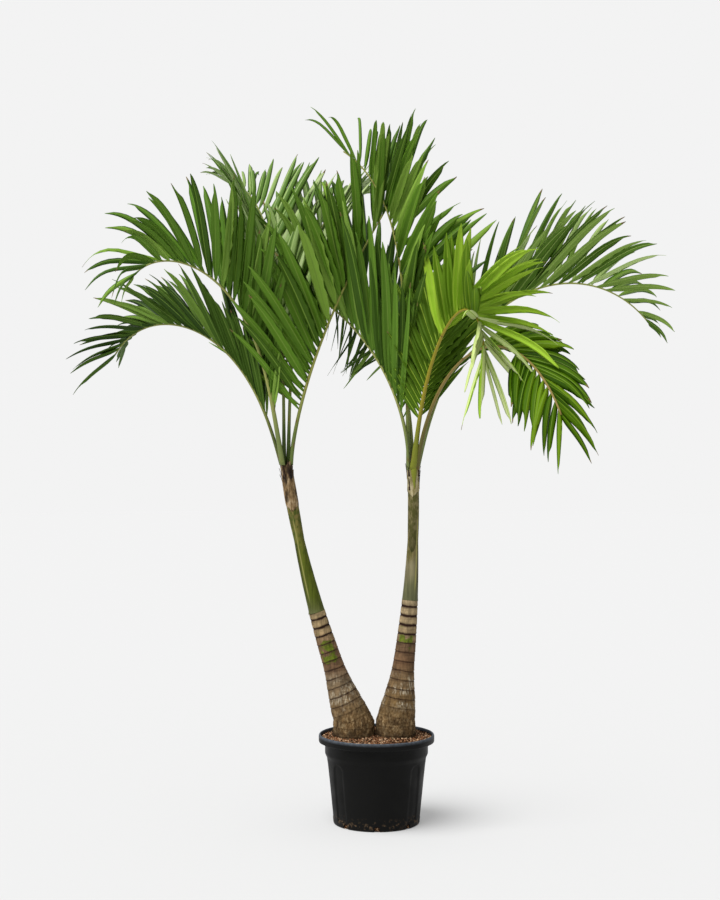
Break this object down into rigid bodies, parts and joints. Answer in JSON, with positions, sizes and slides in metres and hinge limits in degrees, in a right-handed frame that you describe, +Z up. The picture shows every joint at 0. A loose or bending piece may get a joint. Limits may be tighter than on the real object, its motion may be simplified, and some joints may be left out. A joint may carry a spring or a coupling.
{
  "type": "potted veitchia palm",
  "caption": "Veitchia palm with leaning ringed trunks, slim crownshafts and arching feather fronds, growing in a round black nursery pot.",
  "frame": {"origin": "middle of the pot's flat underside, on the surface that the pot stands on", "axes": "+Z up, +X to the right in the picture, +Y away from the viewer"},
  "size_m": [2.5371, 1.6487, 2.8535],
  "materials": {
    "pot": "satin black nursery plastic with a worn rim",
    "soil": "coarse reddish brown potting mix",
    "trunk": "rough ringed bark",
    "crownshaft": "smooth green sheath, dry and tan at the top",
    "leaf_dark": "satin leaf",
    "leaf_mid": "satin leaf",
    "leaf_bright": "satin young leaf"
  },
  "bodies": {
    "root": {"pot": "pot", "soil": "soil", "left_trunk": "trunk", "left_crownshaft": "crownshaft", "right_trunk": "trunk", "right_crownshaft": "crownshaft", "right_bright_frond": "leaf_bright", "right_bright_frond_tip": "leaf_bright", "left_fan_frond": "leaf_dark", "left_fan_frond_tip": "leaf_dark", "left_inner_frond": "leaf_mid", "right_tall_frond": "leaf_mid", "right_far_frond": "leaf_dark", "right_far_frond_tip": "leaf_dark", "right_low_frond": "leaf_dark", "right_low_frond_tip": "leaf_dark", "left_low_frond": "leaf_dark", "left_low_frond_tip": "leaf_dark", "right_inner_frond": "leaf_dark", "left_upright_frond": "leaf_mid", "left_rear_frond": "leaf_mid", "right_rear_frond": "leaf_dark"}
  },
  "joints": []
}
